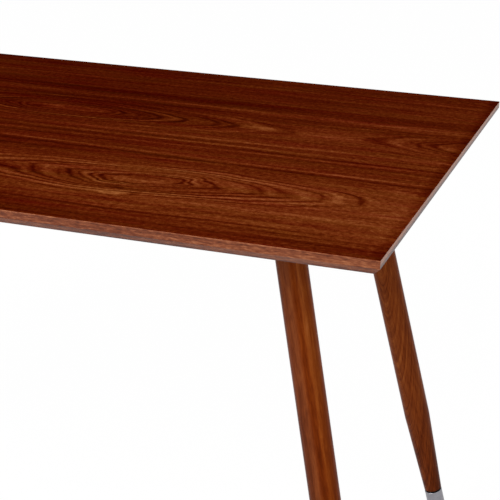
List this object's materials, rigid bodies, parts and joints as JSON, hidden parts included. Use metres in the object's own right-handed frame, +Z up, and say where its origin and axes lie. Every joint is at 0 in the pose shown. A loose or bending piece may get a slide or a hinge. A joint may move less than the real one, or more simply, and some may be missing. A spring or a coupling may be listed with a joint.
{
  "type": "dining table",
  "caption": "Rectangular dining table with an undercut veneered top on round, splayed, tapering legs that end in screw feet with swivel pads.",
  "frame": {"origin": "on the floor under the centre of the top", "axes": "+X along the table's length, +Y across it towards the rear long side, +Z up"},
  "size_m": [1.6, 0.9, 0.75],
  "materials": {
    "walnut_veneer": "satin lacquered red-brown walnut veneer",
    "walnut_edge": "satin lacquered solid walnut strip, lighter than the top",
    "leg_walnut": "satin lacquered turned walnut",
    "backing_veneer": "plain matt backing veneer",
    "core_board": "fine fibreboard, raw",
    "frame_wood": "stained hardwood, matt",
    "dowel_wood": "raw beech, fluted",
    "zinc_steel": "bright zinc plate",
    "black_ring": "black coated",
    "foot_metal": "satin grey",
    "pad_plastic": "black moulded"
  },
  "bodies": {
    "table": {"top_veneer": "walnut_veneer", "underside_veneer": "backing_veneer", "top_core": "core_board", "front_rail": "frame_wood", "rear_rail": "frame_wood", "left_cross_rail": "frame_wood", "right_cross_rail": "frame_wood", "rail_dowels": "dowel_wood", "rail_screws": "zinc_steel", "block_screws": "zinc_steel", "hanger_bolts": "zinc_steel", "insert_nuts": "zinc_steel", "edge_lipping_front": "walnut_edge", "edge_lipping_rear": "walnut_edge", "edge_lipping_left": "walnut_edge", "edge_lipping_right": "walnut_edge", "leg_front_right": "leg_walnut", "leg_front_left": "leg_walnut", "leg_rear_right": "leg_walnut", "leg_rear_left": "leg_walnut", "mounting_block_front_right": "frame_wood", "mounting_block_front_left": "frame_wood", "mounting_block_rear_right": "frame_wood", "mounting_block_rear_left": "frame_wood", "foot_insert_front_right": "black_ring", "foot_insert_front_left": "black_ring", "foot_insert_rear_right": "black_ring", "foot_insert_rear_left": "black_ring"},
    "pad_front_right": {"foot_pad_front_right": "pad_plastic"},
    "foot_front_right": {"foot_sleeve_front_right": "foot_metal", "foot_stud_front_right": "zinc_steel"},
    "pad_front_left": {"foot_pad_front_left": "pad_plastic"},
    "foot_front_left": {"foot_sleeve_front_left": "foot_metal", "foot_stud_front_left": "zinc_steel"},
    "pad_rear_right": {"foot_pad_rear_right": "pad_plastic"},
    "foot_rear_right": {"foot_sleeve_rear_right": "foot_metal", "foot_stud_rear_right": "zinc_steel"},
    "pad_rear_left": {"foot_pad_rear_left": "pad_plastic"},
    "foot_rear_left": {"foot_sleeve_rear_left": "foot_metal", "foot_stud_rear_left": "zinc_steel"}
  },
  "joints": [
    {"name": "foot_travel_front_right", "type": "slide", "parent": "table", "child": "pad_front_right", "axis": [0.2256, -0.1387, -0.9643], "range_m": [0, 0.01]},
    {"name": "foot_turn_front_right", "type": "hinge", "parent": "pad_front_right", "child": "foot_front_right", "pos_m": [0.77414, -0.30448, 0.009], "axis": [0.2256, -0.1387, -0.9643], "range_deg": [0, 2880]},
    {"name": "foot_travel_front_left", "type": "slide", "parent": "table", "child": "pad_front_left", "axis": [-0.2256, -0.1387, -0.9643], "range_m": [0, 0.01]},
    {"name": "foot_turn_front_left", "type": "hinge", "parent": "pad_front_left", "child": "foot_front_left", "pos_m": [-0.77414, -0.30448, 0.009], "axis": [-0.2256, -0.1387, -0.9643], "range_deg": [0, 2880]},
    {"name": "foot_travel_rear_right", "type": "slide", "parent": "table", "child": "pad_rear_right", "axis": [0.2256, 0.1387, -0.9643], "range_m": [0, 0.01]},
    {"name": "foot_turn_rear_right", "type": "hinge", "parent": "pad_rear_right", "child": "foot_rear_right", "pos_m": [0.77414, 0.30448, 0.009], "axis": [0.2256, 0.1387, -0.9643], "range_deg": [0, 2880]},
    {"name": "foot_travel_rear_left", "type": "slide", "parent": "table", "child": "pad_rear_left", "axis": [-0.2256, 0.1387, -0.9643], "range_m": [0, 0.01]},
    {"name": "foot_turn_rear_left", "type": "hinge", "parent": "pad_rear_left", "child": "foot_rear_left", "pos_m": [-0.77414, 0.30448, 0.009], "axis": [-0.2256, 0.1387, -0.9643], "range_deg": [0, 2880]}
  ],
  "couplings": [
    {"joint": "foot_turn_front_right", "follows": "foot_travel_front_right", "rad_per_m": 5026.5},
    {"joint": "foot_turn_front_left", "follows": "foot_travel_front_left", "rad_per_m": 5026.5},
    {"joint": "foot_turn_rear_right", "follows": "foot_travel_rear_right", "rad_per_m": 5026.5},
    {"joint": "foot_turn_rear_left", "follows": "foot_travel_rear_left", "rad_per_m": 5026.5}
  ]
}
